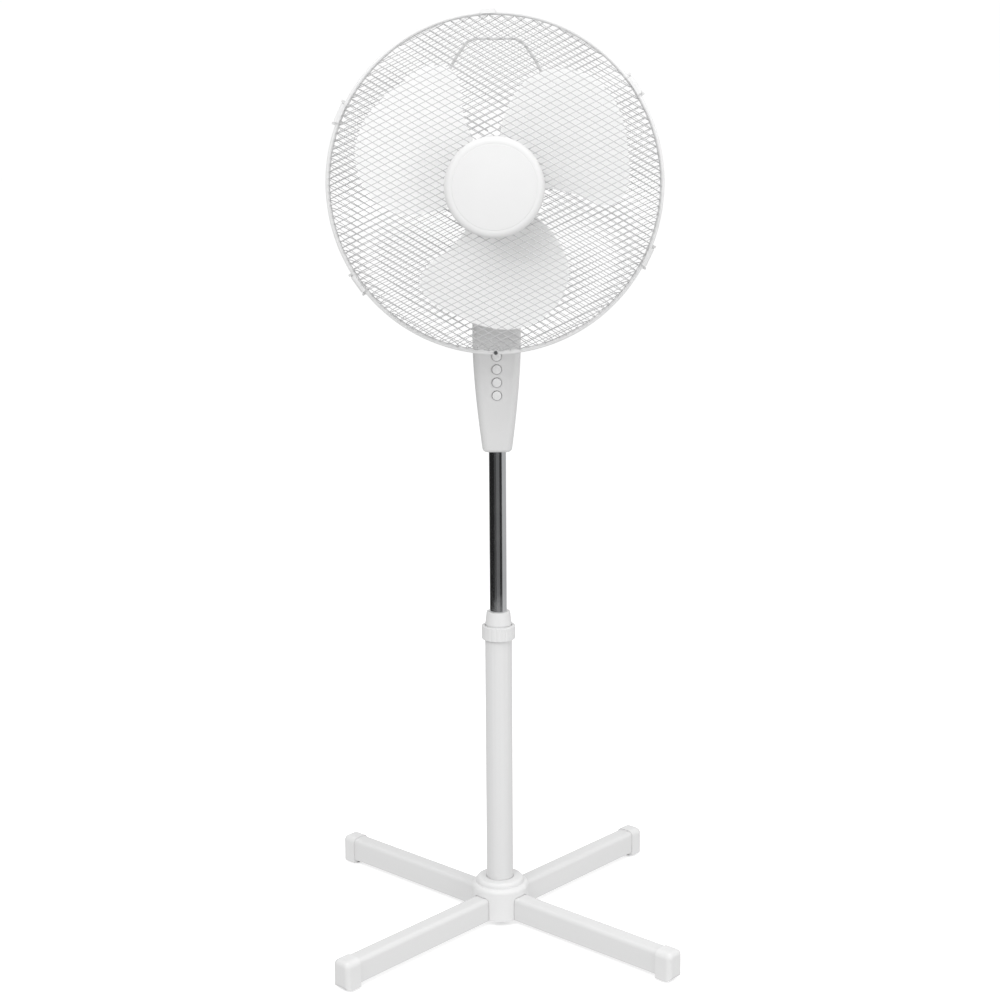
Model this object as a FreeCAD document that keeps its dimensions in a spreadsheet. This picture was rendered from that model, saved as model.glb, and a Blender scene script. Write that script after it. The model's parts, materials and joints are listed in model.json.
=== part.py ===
import FreeCAD, Part
import math
import os
import re

import Sketcher
from FreeCAD import Placement, Rotation, Vector

# Pedestal fan: a four-leg base, a telescopic post, a switch box, a tilting neck and an oscillating
# head with a motor, a propeller and a two-part mesh guard. Millimetres, +Z up, the origin on the
# floor under the post, the head facing -Y.

doc = FreeCAD.newDocument("pedestal_fan")

# ---------------------------------------------------------------- driving dimensions

DRIVING = {
    # base. The post stands turned a little in it
    "base_turn": 3.4,
    "leg_half_width": 13,
    "leg_height": 33,
    "leg_round": 6,
    "leg_wall": 1.5,
    "leg_lift": 8,
    "leg_end": 304,
    "cap_reach": 316,
    "cap_length": 24,
    "cap_half_width": 14.8,
    "cap_height": 40,
    "cap_lift": 3,
    "cap_round": 7,
    "pad_radius": 7.5,
    "pad_height": 5,
    "pad_reach": 300.5,
    "hub_radius": 41,
    "hub_wall": 3,
    "hub_top": 52.5,
    "hub_ring_radius": 34,
    "hub_ring_top": 62,
    "flange_radius": 31,
    "flange_bottom": 41.4,
    "flange_thickness": 3,
    "base_bolt_circle": 25,
    "base_bolt_radius": 2.4,
    # post
    "tube_radius": 19,
    "tube_wall": 1.5,
    "tube_top": 419,
    "pole_radius": 12,
    "pole_wall": 1.5,
    "pole_bottom": 327,
    "pole_top": 745,
    "sleeve_top": 457,
    "ring_radius": 23.6,
    "ring_height": 19.5,
    "fit": 0.08,
    "gap": 0.3,
    # switch box
    "box_bottom": 686,
    "box_top": 880,
    "box_straight_from": 830,
    "box_half_width": 32.5,
    "box_half_depth": 33,
    "box_taper_width": 12.75,
    "box_taper_depth": 8,
    "box_corner": 10,
    "box_wall": 2.4,
    "button_radius": 6.25,
    "button_pitch": 17.8,
    "button_top": 819,
    "button_proud": 3.5,
    "button_travel": 3.5,
    # neck
    "tilt_height": 907,
    "tongue_half_width": 10.6,
    "tongue_radius": 15,
    "neck_top": 958.5,
    "spindle_radius": 6,
    # head, measured along the fan axis from a plane this far in front of the post
    "head_height": 1047.5,
    "head_reach": 200,
    "motor_radius": 53,
    "motor_wall": 2.4,
    "shaft_radius": 4,
    "crank_offset": 45,
    "anchor_radius": 26,
    "swing_degrees": 40,
    # propeller
    "blade_tip_radius": 184,
    "blade_rise": 40,
    "blade_thickness": 2.2,
    "blade_middle": 78,
    # guard
    "rim_radius": 212.2,
    "rim_wire": 2.7,
    "rim_plane": 80,
    "dish_depth": 62,
    "dish_power": 2.6,
    "mesh_thickness": 1.4,
    "mesh_width": 48.3,
    "mesh_height": 26.1,
    "mesh_strand": 3,
    "badge_radius": 62.2,
    "plate_radius": 62,
    "handle_half_width": 60,
    "handle_wire": 2,
}

sheet = doc.addObject("Spreadsheet::Sheet", "Sizes")
for row, (alias, number) in enumerate(DRIVING.items(), 1):
    sheet.set(f"A{row}", alias)
    sheet.set(f"B{row}", str(number))
    sheet.setAlias(f"B{row}", alias)
doc.recompute()


def bound(text):
    """The expression with every word turned into a reference to the sheet."""
    return re.sub(r"[A-Za-z_]\w*", lambda word: "Sizes." + word.group(0), str(text))


def size(text):
    """The value of an expression of sheet words."""
    answer = sheet.evalExpression(bound(text))
    return float(getattr(answer, "Value", answer))


# ---------------------------------------------------------------- helpers

RIGHT, BACK, UP = Vector(1, 0, 0), Vector(0, 1, 0), Vector(0, 0, 1)
AXIS_TURN = {"Z": Rotation(), "X": Rotation(BACK, 90), "Y": Rotation(RIGHT, -90)}
pieces = []


def keep(label, feature):
    """Names a finished piece and lists it for export."""
    feature.Label = label
    pieces.append(feature)
    return feature


def place(feature, x=0, y=0, z=0, turn=AXIS_TURN["Z"]):
    """Puts a feature at sheet distances from the origin."""
    feature.Placement = Placement(Vector(size(x), size(y), size(z)), turn)
    for axis, text in (("x", x), ("y", y), ("z", z)):
        feature.setExpression("Placement.Base." + axis, bound(text))
    return feature


def on_head(feature):
    """Lays a feature's own Z axis along the fan axis, from the front reference plane backwards."""
    return place(feature, 0, "-head_reach", "head_height", AXIS_TURN["Y"])


def cylinder(name, radius, length, x=0, y=0, z=0, axis="Z"):
    feature = doc.addObject("Part::Cylinder", name)
    feature.setExpression("Radius", bound(radius))
    feature.setExpression("Height", bound(length))
    return place(feature, x, y, z, AXIS_TURN[axis])


def block(name, length, width, height, x=0, y=0, z=0):
    """A box whose lower corner is at x, y, z."""
    feature = doc.addObject("Part::Box", name)
    feature.setExpression("Length", bound(length))
    feature.setExpression("Width", bound(width))
    feature.setExpression("Height", bound(height))
    return place(feature, x, y, z)


def join(name, *features):
    feature = doc.addObject("Part::MultiFuse", name)
    feature.Shapes = list(features)
    return feature


def cut(name, base, *tools):
    feature = doc.addObject("Part::Cut", name)
    feature.Base = base
    feature.Tool = tools[0] if len(tools) == 1 else join(name + "_tools", *tools)
    return feature


def group(name, features):
    feature = doc.addObject("Part::Compound", name)
    feature.Links = features
    return feature


def solid(name, shape):
    """A piece whose shape is worked out in code from the sheet."""
    feature = doc.addObject("Part::Feature", name)
    feature.Shape = shape
    feature.Placement = Placement(shape.Placement)
    return feature


def hexagon(radius, centre, across, up):
    """A flat six-sided face round a centre, spanned by two directions."""
    corners = []
    for number in range(7):
        angle = math.radians(60 * number)
        corners.append(centre + across * (radius * math.cos(angle)) + up * (radius * math.sin(angle)))
    return Part.Face(Part.makePolygon(corners))


def origin_plane(body, role):
    return next(plane for plane in body.Origin.OriginFeatures if plane.Role == role)


def sketch_on(body, role):
    sketch = body.newObject("Sketcher::SketchObject", body.Name + "_sketch")
    sketch.AttachmentSupport = [(origin_plane(body, role), "")]
    sketch.MapMode = "FlatFace"
    return sketch


def hold_point(sketch, line, across, up):
    """Fixes the start of a line at sheet distances from the sketch origin."""
    for kind, text, axis in (("DistanceX", across, -2), ("DistanceY", up, -1)):
        value = size(text)
        if abs(value) < 1e-9:
            sketch.addConstraint(Sketcher.Constraint("PointOnObject", line, 1, axis))
            continue
        index = sketch.addConstraint(Sketcher.Constraint(kind, -1, 1, line, 1, value))
        sketch.setExpression(f"Constraints[{index}]", bound(text))


def draw_outline(sketch, corners):
    """A closed outline. A corner with four entries starts an arc through its last two."""
    count = len(corners)
    points = [Vector(size(corner[0]), size(corner[1]), 0) for corner in corners]
    for index, corner in enumerate(corners):
        start, end = points[index], points[(index + 1) % count]
        if len(corner) == 4:
            middle = Vector(size(corner[2]), size(corner[3]), 0)
            arc = Part.Arc(start, middle, end)
            sketch.addGeometry(arc, False)
        else:
            sketch.addGeometry(Part.LineSegment(start, end), False)


def tie_outline(sketch, corners):
    """Closes the outline's corners and binds each one to the sheet."""
    count = len(corners)
    ends = []
    for index, corner in enumerate(corners):
        start = Vector(size(corner[0]), size(corner[1]), 0)
        flipped = sketch.getPoint(index, 1).distanceToPoint(start) > 1e-6
        ends.append((2, 1) if flipped else (1, 2))
    for index in range(count):
        following = (index + 1) % count
        sketch.addConstraint(
            Sketcher.Constraint("Coincident", index, ends[index][1], following, ends[following][0])
        )
    for index, corner in enumerate(corners):
        if ends[index][0] == 1:
            hold_point(sketch, index, corner[0], corner[1])


def turned(name, corners, rounds=()):
    """A body turned about its own Z axis from (radius, height) corners. Each round is a radius,
    a height and a fillet size, and softens the circular edge found there."""
    body = doc.addObject("PartDesign::Body", name)
    sketch = sketch_on(body, "XZ_Plane")
    draw_outline(sketch, corners)
    tie_outline(sketch, corners)
    revolution = body.newObject("PartDesign::Revolution", name + "_turn")
    revolution.Profile = sketch
    revolution.ReferenceAxis = (sketch, ["V_Axis"])
    revolution.Angle = 360
    body.Tip = revolution
    doc.recompute()
    feature = revolution
    for number, (radius, height, fillet_size) in enumerate(rounds):
        names = circles_at(feature.Shape, size(radius), size(height))
        fillet = body.newObject("PartDesign::Fillet", f"{name}_round{number}")
        fillet.Base = (feature, names)
        fillet.Radius = size(fillet_size)
        fillet.setExpression("Radius", bound(fillet_size))
        body.Tip = fillet
        doc.recompute()
        feature = fillet
    return body


def circles_at(shape, radius, height):
    """The names of the circular edges of this radius at this height."""
    names = []
    for index, edge in enumerate(shape.Edges, 1):
        if edge.Degenerated or not isinstance(edge.Curve, Part.Circle):
            continue
        curve = edge.Curve
        if abs(curve.Radius - radius) < 1e-4 and abs(curve.Center.z - height) < 1e-4:
            names.append(f"Edge{index}")
    return names


def bar_body(name, half_width, bottom, height, corner, length, inner_wall=None):
    """A bar, or a tube if it has an inner wall, with its two top edges rounded, padded along its
    own -Y axis."""
    body = doc.addObject("PartDesign::Body", name)
    sketch = sketch_on(body, "XZ_Plane")
    walls = [0] if inner_wall is None else [0, inner_wall]
    for wall in walls:
        draw_bar(sketch, half_width, bottom, height, corner, wall)
    pad = body.newObject("PartDesign::Pad", name + "_pad")
    pad.Profile = sketch
    pad.Length = size(length)
    pad.setExpression("Length", bound(length))
    body.Tip = pad
    doc.recompute()
    return body


def draw_bar(sketch, half_width, bottom, height, corner, wall):
    """A rectangle with two round top corners, one wall's thickness inside the bar's outline."""
    first = sketch.GeometryCount
    half_text, low_text = f"{half_width} - {wall}", f"{bottom} + {wall}"
    high_text, radius_text = f"{bottom} + {height} - {wall}", f"{corner} - {wall}"
    half, low, high, radius = size(half_text), size(low_text), size(high_text), size(radius_text)
    flat, shoulder = half - radius, high - radius
    right_circle = Part.Circle(Vector(flat, shoulder, 0), UP, radius)
    left_circle = Part.Circle(Vector(-flat, shoulder, 0), UP, radius)
    for item in (
        Part.LineSegment(Vector(-half, low, 0), Vector(half, low, 0)),
        Part.LineSegment(Vector(half, low, 0), Vector(half, shoulder, 0)),
        Part.ArcOfCircle(right_circle, 0, math.pi / 2),
        Part.LineSegment(Vector(flat, high, 0), Vector(-flat, high, 0)),
        Part.ArcOfCircle(left_circle, math.pi / 2, math.pi),
        Part.LineSegment(Vector(-half, shoulder, 0), Vector(-half, low, 0)),
    ):
        sketch.addGeometry(item, False)
    floor, right, right_arc, top, left_arc, left = range(first, first + 6)
    for kind, here, there in (
        ("Coincident", floor, right),
        ("Tangent", right, right_arc),
        ("Tangent", right_arc, top),
        ("Tangent", top, left_arc),
        ("Tangent", left_arc, left),
        ("Coincident", left, floor),
    ):
        sketch.addConstraint(Sketcher.Constraint(kind, here, 2, there, 1))
    sketch.addConstraint(Sketcher.Constraint("Vertical", right))
    sketch.addConstraint(Sketcher.Constraint("Vertical", left))
    sketch.addConstraint(Sketcher.Constraint("Horizontal", top))
    sketch.addConstraint(Sketcher.Constraint("Equal", right_arc, left_arc))
    sketch.addConstraint(Sketcher.Constraint("Symmetric", floor, 1, floor, 2, -2))
    for constraint, meaning in (
        (Sketcher.Constraint("Radius", right_arc, radius), radius_text),
        (Sketcher.Constraint("DistanceX", -1, 1, floor, 2, half), half_text),
        (Sketcher.Constraint("DistanceY", -1, 1, floor, 2, low), low_text),
        (Sketcher.Constraint("DistanceY", -1, 1, top, 1, high), high_text),
    ):
        index = sketch.addConstraint(constraint)
        sketch.setExpression(f"Constraints[{index}]", bound(meaning))


def turned_about_post(feature, azimuth, forward):
    """Places a feature so that its own -Y axis points away from the post at this azimuth, its
    start this far out."""
    turn = Rotation(UP, azimuth)
    feature.Placement = Placement(turn.multVec(Vector(0, -forward, 0)), turn)
    return feature


# ---------------------------------------------------------------- base

LEG_AZIMUTHS = {
    "front_left": size("base_turn - 45"),
    "front_right": size("base_turn + 45"),
    "rear_left": size("base_turn - 135"),
    "rear_right": size("base_turn + 135"),
}


def bolt_spots(height):
    """The four spots, at this height, where the post's flange is screwed to the legs."""
    out = Vector(0, -size("base_bolt_circle"), 0)
    return [
        Rotation(UP, azimuth).multVec(out) + Vector(0, 0, height)
        for azimuth in LEG_AZIMUTHS.values()
    ]


def leg_bar(name, azimuth, keeps_lower_half):
    """A leg tube right across the base. The two tubes are half lapped where they cross."""
    tube = bar_body(
        name + "_tube", "leg_half_width", "leg_lift", "leg_height", "leg_round", "2 * leg_end", "leg_wall"
    )
    turned_about_post(tube, azimuth, -size("leg_end"))
    lap = size("leg_half_width + gap")
    middle = size("leg_lift + leg_height / 2")
    half_gap = size("gap / 2")
    bottom = middle - half_gap if keeps_lower_half else 0
    top = size("leg_lift + leg_height + 5") if keeps_lower_half else middle + half_gap
    notch = Part.makeBox(4 * lap, 2 * lap, top - bottom, Vector(-2 * lap, -lap, bottom))
    notch.Placement = Placement(Vector(), Rotation(UP, azimuth)).multiply(notch.Placement)
    hole_bottom = size("leg_lift + leg_height - 9")
    holes = [
        Part.makeCylinder(size("base_bolt_radius + gap"), 12, spot) for spot in bolt_spots(hole_bottom)
    ]
    return keep(name, cut(name, tube, solid(name + "_lap", Part.makeCompound([notch] + holes))))


def end_cap(side, azimuth):
    """A plastic shoe on the leg's end, rounded all round its closed end, with a recess under it
    for the rubber pad."""
    name = "end_cap_" + side
    body = bar_body(
        name + "_body", "cap_half_width", "cap_lift", "cap_height", "cap_round + 1.5", "cap_length"
    )
    pad = body.Tip
    length = size("cap_length")
    names = [
        f"Edge{index}" for index, edge in enumerate(pad.Shape.Edges, 1)
        if all(abs(vertex.Y + length) < 1e-4 for vertex in edge.Vertexes)
    ]
    fillet = body.newObject("PartDesign::Fillet", name + "_round")
    fillet.Base = (pad, names)
    fillet.Radius = size("cap_round")
    fillet.setExpression("Radius", bound("cap_round"))
    body.Tip = fillet
    start = size("cap_reach - cap_length")
    turned_about_post(body, azimuth, start)
    lead = 10
    socket = bar_body(
        name + "_socket", "leg_half_width + 0.1", "leg_lift - 0.1", "leg_height + 0.2", "leg_round + 0.1",
        f"leg_end + 2 - cap_reach + cap_length + {lead}",
    )
    turned_about_post(socket, azimuth, start - lead)
    recess = Part.makeCylinder(size("pad_radius + 0.1"), size("pad_height"), pad_centre(azimuth))
    return keep(name, cut(name, body, socket, solid(name + "_recess", recess)))


def pad_centre(azimuth):
    """The middle of a rubber pad on the floor."""
    return Rotation(UP, azimuth).multVec(Vector(0, -size("pad_reach"), 0))


def foot_pads():
    """The four rubber pads, one set in each end cap."""
    pads = []
    for azimuth in LEG_AZIMUTHS.values():
        pad = Part.makeCylinder(size("pad_radius"), size("pad_height"), pad_centre(azimuth))
        pads.append(pad.makeFillet(0.8, [edge for edge in pad.Edges if is_level(edge, 0)]))
    return keep("foot_pads", solid("foot_pads", Part.makeCompound(pads)))


def hub_cover():
    """A cover over the crossing: a skirt with an opening for each leg, a sloping shoulder and a
    raised ring round the post."""
    dome = turned(
        "hub_dome",
        [
            ("hub_radius", "leg_lift"),
            ("hub_radius", "hub_top"),
            ("hub_ring_radius", "hub_top + 2"),
            ("hub_ring_radius", "hub_ring_top"),
            ("tube_radius + gap", "hub_ring_top"),
            ("tube_radius + gap", "hub_ring_top - hub_wall"),
            ("hub_ring_radius - hub_wall", "hub_ring_top - hub_wall"),
            ("hub_ring_radius - hub_wall", "hub_top - hub_wall"),
            ("hub_radius - hub_wall", "hub_top - hub_wall"),
            ("hub_radius - hub_wall", "leg_lift"),
        ],
        [
            ("hub_radius", "hub_top", "5.5"),
            ("hub_ring_radius", "hub_ring_top", "5"),
            ("tube_radius + gap", "hub_ring_top", "1"),
        ],
    )
    tools = []
    for number, azimuth in enumerate(LEG_AZIMUTHS.values()):
        opening = bar_body(
            f"hub_opening{number}", "leg_half_width + 0.6", "leg_lift - 3", "leg_height + 3.6",
            "leg_round + 0.6", "60",
        )
        tools.append(turned_about_post(opening, azimuth, 15))
    return keep("hub_cover", cut("hub_cover", dome, *tools))


def lower_pole():
    """The outer post tube with its welded foot flange."""
    tube = turned(
        "outer_tube",
        [
            ("tube_radius - tube_wall", "flange_bottom"),
            ("flange_radius", "flange_bottom"),
            ("flange_radius", "flange_bottom + flange_thickness"),
            ("tube_radius", "flange_bottom + flange_thickness"),
            ("tube_radius", "tube_top"),
            ("tube_radius - tube_wall", "tube_top"),
        ],
    )
    holes = [
        Part.makeCylinder(size("base_bolt_radius + gap"), size("flange_thickness + 4"), spot)
        for spot in bolt_spots(size("flange_bottom - 2"))
    ]
    return keep("lower_pole", cut("lower_pole", tube, solid("flange_holes", Part.makeCompound(holes))))


def base_screws():
    """Four pan-head screws from the flange down into the legs."""
    screws = []
    grip, head_radius, head_height, slot_width = 22, 4.6, 3.2, 1.2
    for spot in bolt_spots(size("flange_bottom + flange_thickness")):
        shank = Part.makeCylinder(size("base_bolt_radius"), grip, spot - Vector(0, 0, grip))
        head = Part.makeCylinder(head_radius, head_height, spot)
        corner = spot + Vector(-head_radius - 0.1, -slot_width / 2, head_height - 1.3)
        slot = Part.makeBox(2 * head_radius + 0.2, slot_width, 1.5, corner)
        screws.append(shank.fuse(head).removeSplitter().cut(slot))
    return keep("base_screws", solid("base_screws", Part.makeCompound(screws)))


def base():
    leg_bar("leg_bar_lower", LEG_AZIMUTHS["front_left"], True)
    leg_bar("leg_bar_upper", LEG_AZIMUTHS["front_right"], False)
    for side, azimuth in LEG_AZIMUTHS.items():
        end_cap(side, azimuth)
    foot_pads()
    hub_cover()
    lower_pole()
    base_screws()


# ---------------------------------------------------------------- post

def pole_collar():
    """A plastic insert in the tube top, with a threaded neck and a tapered sleeve above it."""
    return keep("pole_collar", turned(
        "pole_collar",
        [
            ("pole_radius + fit", "tube_top - 38"),
            ("tube_radius - tube_wall - fit", "tube_top - 38"),
            ("tube_radius - tube_wall - fit", "tube_top + 0.2"),
            ("tube_radius", "tube_top + 0.2"),
            ("tube_radius", "tube_top + 2.2"),
            ("tube_radius - 0.7", "tube_top + 2.2"),
            ("tube_radius - 0.7", "sleeve_top - 19"),
            ("tube_radius - 0.4", "sleeve_top - 18"),
            ("pole_radius + 4.5", "sleeve_top"),
            ("pole_radius + fit", "sleeve_top"),
        ],
        [("pole_radius + 4.5", "sleeve_top", "1.2")],
    ))


def clamp_ring():
    """The height ring that squeezes the collar, with shallow grip flutes round it."""
    ring = turned(
        "ring_blank",
        [
            ("tube_radius + 0.4", "tube_top - 1.5"),
            ("ring_radius", "tube_top - 1.5"),
            ("ring_radius", "tube_top - 1.5 + ring_height"),
            ("tube_radius + 0.1", "tube_top - 1.5 + ring_height"),
            ("tube_radius + 0.1", "tube_top + 3"),
            ("tube_radius + 0.4", "tube_top + 3"),
        ],
        [
            ("ring_radius", "tube_top - 1.5 + ring_height", "1.5"),
            ("ring_radius", "tube_top - 1.5", "1.2"),
        ],
    )
    flutes = 20
    tools = []
    for number in range(flutes):
        turn = Rotation(UP, 360 / flutes * (number + 0.5))
        centre = turn.multVec(Vector(size("ring_radius + 2.6"), 0, size("tube_top - 5")))
        tools.append(Part.makeCylinder(3.1, 30, centre))
    grooves = solid("flutes", Part.makeCompound(tools))
    return keep("height_clamp_ring", cut("height_clamp_ring", ring, grooves))


def post():
    pole_collar()
    clamp_ring()
    keep("inner_pole", turned(
        "inner_pole",
        [
            ("pole_radius - pole_wall", "pole_bottom"),
            ("pole_radius", "pole_bottom"),
            ("pole_radius", "pole_top"),
            ("pole_radius - pole_wall", "pole_top"),
        ],
    ))
    keep("pole_bush", turned(
        "pole_bush",
        [
            ("8", "pole_bottom - 5"),
            ("tube_radius - tube_wall - fit", "pole_bottom - 5"),
            ("tube_radius - tube_wall - fit", "pole_bottom + 20"),
            ("pole_radius + fit", "pole_bottom + 20"),
            ("pole_radius + fit", "pole_bottom - gap"),
            ("8", "pole_bottom - gap"),
        ],
    ))


# ---------------------------------------------------------------- switch box

def taper(height, power):
    """How far the box has narrowed at this height, from 0 at the straight part to 1 at the foot."""
    span = size("box_straight_from - box_bottom")
    return max(0.0, (size("box_straight_from") - height) / span) ** power


def half_width_at(height):
    return size("box_half_width") - size("box_taper_width") * taper(height, 1.5)


def half_depth_at(height):
    return size("box_half_depth") - size("box_taper_depth") * taper(height, 2)


def rounded_rectangle(half_width, half_depth, corner, height):
    """A level closed wire, a rectangle with round corners."""
    across, deep = half_width - corner, half_depth - corner
    edges = []
    for quarter, (x, y) in enumerate(((across, deep), (-across, deep), (-across, -deep), (across, -deep))):
        circle = Part.Circle(Vector(x, y, height), UP, corner)
        start = quarter * math.pi / 2
        edges.append(Part.ArcOfCircle(circle, start, start + math.pi / 2).toShape())
    lines = []
    for index, edge in enumerate(edges):
        following = edges[(index + 1) % 4]
        lines.append(Part.makeLine(edge.Vertexes[-1].Point, following.Vertexes[0].Point))
    return Part.Wire([item for pair in zip(edges, lines) for item in pair])


def box_volume(inset):
    """The outer or the inner volume of the switch box, lofted up its taper and rounded at the ends."""
    bottom, top = size("box_bottom") + inset, size("box_top") - inset
    straight = size("box_straight_from")
    steps = 5
    levels = [bottom + (straight - bottom) * step / steps for step in range(steps + 1)]
    corner = size("box_corner") - inset
    wires = [
        rounded_rectangle(half_width_at(level) - inset, half_depth_at(level) - inset, corner, level)
        for level in levels
    ]
    lower = Part.makeLoft(wires, True, False)
    upper = Part.Face(wires[-1]).extrude(Vector(0, 0, top - straight))
    whole = lower.fuse(upper)
    rims = [edge for edge in whole.Edges if is_level(edge, top) or is_level(edge, bottom)]
    return whole.makeFillet(max(1.0, 5.5 - inset), rims)


def is_level(edge, height):
    return all(abs(vertex.Z - height) < 1e-4 for vertex in edge.Vertexes)


def button_heights():
    return [size("button_top") - size("button_pitch") * number for number in range(4)]


# Where the housing screws sit, across and up.
SCREW_SPOTS = [(-24, 846), (24, 846), (-20, 754), (20, 754)]
LOCK_HEIGHT = 732
INLET_HEIGHT = 706
LOCK_SCREW_RADIUS = 2.95
INLET_BODY_RADIUS = 6


def housing_halves():
    """The front and rear shells of the switch box."""
    wall, gap = size("box_wall"), size("gap")
    shell = box_volume(0).cut(box_volume(wall))
    shell = shell.cut(Part.makeCylinder(size("pole_radius + 0.4"), 20, Vector(0, 0, size("box_bottom") - 5)))
    neck_slot = Part.makeBox(36, 33, 20, Vector(-18, -16.5, size("box_top") - 10))
    shell = shell.cut(neck_slot)
    big = 120
    low = size("box_bottom") - 5
    front_half = Part.makeBox(2 * big, big, 2 * big, Vector(-big, -big - gap / 2, low))
    rear_half = Part.makeBox(2 * big, big, 2 * big, Vector(-big, gap / 2, low))
    front, rear = shell.common(front_half), shell.common(rear_half)
    holes = [
        Part.makeCylinder(size("button_radius + 0.7"), 30, Vector(0, -50, height), BACK)
        for height in button_heights()
    ]
    front = front.cut(Part.makeCompound(holes))
    front = front.fuse([screw_post(x, z) for x, z in SCREW_SPOTS])
    front = front.cut(Part.makeCompound([
        Part.makeCylinder(1.5, 20, Vector(x, -18, z), BACK) for x, z in SCREW_SPOTS
    ]))
    keep("housing_front", solid("housing_front", front.removeSplitter()))
    socket_bottom = size("box_bottom") + 0.5
    socket = Part.makeCylinder(size("pole_radius + 4"), 58, Vector(0, 0, socket_bottom))
    socket = socket.cut(Part.makeCylinder(size("pole_radius + 0.05"), 80, Vector(0, 0, socket_bottom - 5)))
    floor_gap = Part.makeBox(2 * big, big, 2.6, Vector(-big, -big - gap / 2, size("box_bottom")))
    socket = socket.cut(floor_gap)
    rib = Part.makeBox(3, 14, 40, Vector(-1.5, size("pole_radius + 3"), socket_bottom + 15))
    rear = rear.fuse([socket, rib.common(box_volume(wall / 2))])
    rear_holes = [Part.makeCylinder(1.8, 60, Vector(x, 0, z), BACK) for x, z in SCREW_SPOTS]
    rear_holes += [
        Part.makeCylinder(3.6, 60, Vector(x, half_depth_at(z) - 1.2, z), BACK)
        for x, z in SCREW_SPOTS
    ]
    lock_start = Vector(0, size("pole_radius") - 2, LOCK_HEIGHT)
    rear_holes.append(Part.makeCylinder(LOCK_SCREW_RADIUS + 0.1, 40, lock_start, BACK))
    inlet_start = Vector(0, half_depth_at(INLET_HEIGHT) - 8, INLET_HEIGHT)
    rear_holes.append(Part.makeCylinder(INLET_BODY_RADIUS + 0.1, 30, inlet_start, BACK))
    keep("housing_rear", solid("housing_rear", rear.cut(Part.makeCompound(rear_holes)).removeSplitter()))


def screw_post(x, z):
    """A post inside the front shell that takes a housing screw."""
    depth = half_depth_at(z) - 1.2
    return Part.makeCylinder(3.2, depth - size("gap"), Vector(x, -depth, z), BACK)


def housing_screws():
    screws = []
    for x, z in SCREW_SPOTS:
        back = half_depth_at(z) - 1.1
        head = Part.makeCylinder(3.3, 1.9, Vector(x, back, z), BACK)
        shank = Part.makeCylinder(1.45, back + 12, Vector(x, -12, z), BACK)
        slot = Part.makeBox(5.4, 2, 0.9, Vector(x - 2.7, back + 1, z - 0.45))
        screws.append(head.fuse(shank).removeSplitter().cut(slot))
    keep("housing_screws", solid("housing_screws", Part.makeCompound(screws)))


def push_button(number, height):
    """A round piano key: a domed cap, a flange behind the wall and a stem into the switch."""
    name = f"push_button_{number}"
    body = turned(
        name,
        [
            ("0", "0", "button_radius / 2", "0.25"),
            ("button_radius", "1.2"),
            ("button_radius", "button_proud + box_wall + 0.9"),
            ("button_radius + 1.4", "button_proud + box_wall + 0.9"),
            ("button_radius + 1.4", "button_proud + box_wall + 2.4"),
            ("2.5", "button_proud + box_wall + 2.4"),
            ("2.5", "28"),
            ("0", "28"),
        ],
        [("button_radius", "1.2", "0.9")],
    )
    body.Placement = Placement(
        Vector(0, -half_depth_at(height) - size("button_proud"), height), AXIS_TURN["Y"]
    )
    keep(name, body)


def switch_block():
    """The body of the four-way switch, with a bore for each stem."""
    heights = button_heights()
    low, high = heights[-1] - 9, heights[0] + 9
    front = -size("box_half_depth") + 18
    body = Part.makeBox(22, 20, high - low, Vector(-11, front, low))
    for height in heights:
        body = body.cut(Part.makeCylinder(size("2.5 + fit"), 14, Vector(0, front, height), BACK))
    ears = [Part.makeBox(34, 3, 8, Vector(-17, front + 17, level)) for level in (low + 2, high - 10)]
    keep("switch_block", solid("switch_block", body.fuse(ears).removeSplitter()))


def capacitor():
    body = Part.makeBox(34, 14, 26, Vector(-17, 12, 790))
    body = body.makeFillet(1.2, [edge for edge in body.Edges if abs(edge.Length - 26) < 1e-6])
    keep("capacitor", solid("capacitor", body))


def cord_inlet():
    """The round inlet low at the back where the supply lead enters."""
    inlet = turned(
        "cord_inlet",
        [
            ("3.6", "0"),
            (INLET_BODY_RADIUS, "0"),
            (INLET_BODY_RADIUS, "4.5"),
            ("8", "4.5"),
            ("8", "6.5"),
            ("5.5", "9"),
            ("3.6", "9"),
        ],
        [("8", "6.5", "0.6")],
    )
    inlet.Placement = Placement(Vector(0, half_depth_at(INLET_HEIGHT) - 3.3, INLET_HEIGHT), AXIS_TURN["Y"])
    keep("cord_inlet", inlet)


def pole_lock_screw():
    """A thumbscrew at the back that locks the box on the pole."""
    back = half_depth_at(LOCK_HEIGHT) + 0.8
    start = size("pole_radius + 0.1")
    shank = Part.makeCylinder(LOCK_SCREW_RADIUS, back - start + 1, Vector(0, start, LOCK_HEIGHT), BACK)
    head = Part.makeCylinder(9, 11, Vector(0, back, LOCK_HEIGHT), BACK)
    lobes = 8
    for number in range(lobes):
        turn = Rotation(BACK, 360 / lobes * number)
        centre = turn.multVec(Vector(10.4, 0, 0)) + Vector(0, back - 1, LOCK_HEIGHT)
        head = head.cut(Part.makeCylinder(2.4, 14, centre, BACK))
    keep("pole_lock_screw", solid("pole_lock_screw", shank.fuse(head)))


def switch_box():
    housing_halves()
    housing_screws()
    for number, height in enumerate(button_heights(), 1):
        push_button(number, height)
    switch_block()
    capacitor()
    cord_inlet()
    pole_lock_screw()


# ---------------------------------------------------------------- neck

def ear(x, width, radius, bottom):
    """An upright cheek with a round top about the tilt axis."""
    pivot = Vector(x, 0, size("tilt_height"))
    top = Part.makeCylinder(radius, width, pivot, RIGHT)
    stem = Part.makeBox(width, 2 * radius, pivot.z - bottom, Vector(x, -radius, bottom))
    return top.fuse(stem)


TILT_BOLT_RADIUS = 3


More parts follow.
